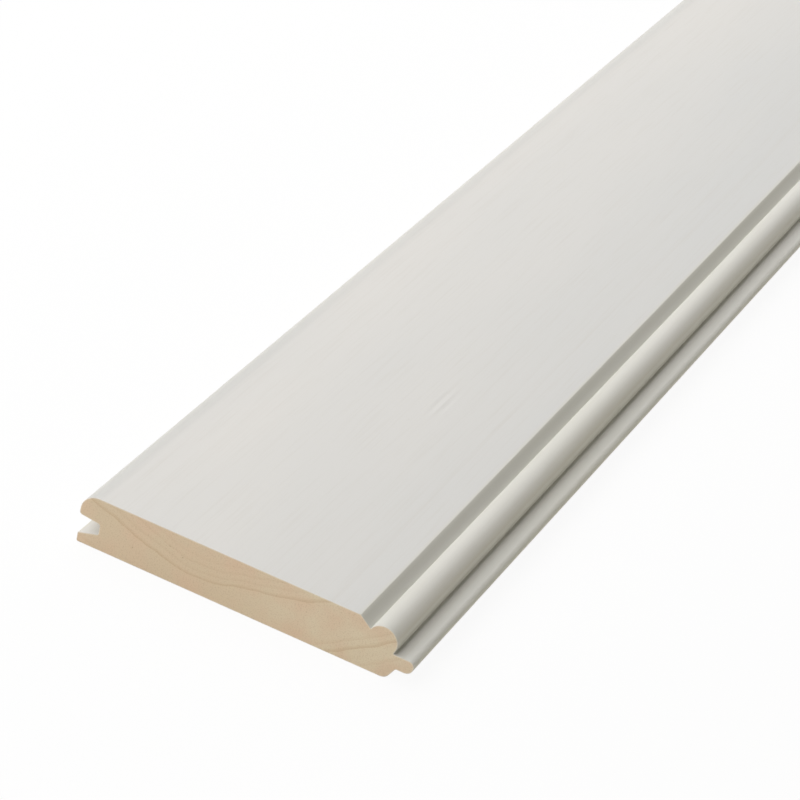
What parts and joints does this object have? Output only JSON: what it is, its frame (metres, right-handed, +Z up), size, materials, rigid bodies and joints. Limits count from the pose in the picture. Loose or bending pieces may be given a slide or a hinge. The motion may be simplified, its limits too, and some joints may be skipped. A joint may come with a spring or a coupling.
{
  "type": "tongue and groove board",
  "caption": "Beaded tongue and groove board for lining walls, primed white, with a groove under its rounded long edge and a tongue beside a quirked bead.",
  "frame": {"origin": "middle of the board's outline seen from above, on the back face that it lies on", "axes": "+X across the board from the groove to the tongue, +Y along its length, +Z up out of the face"},
  "size_m": [0.1164, 2.4, 0.018],
  "materials": {
    "primed_softwood": "matt white primer on the planed faces, bare sawn ends"
  },
  "bodies": {
    "root": {"board": "primed_softwood"}
  },
  "joints": []
}
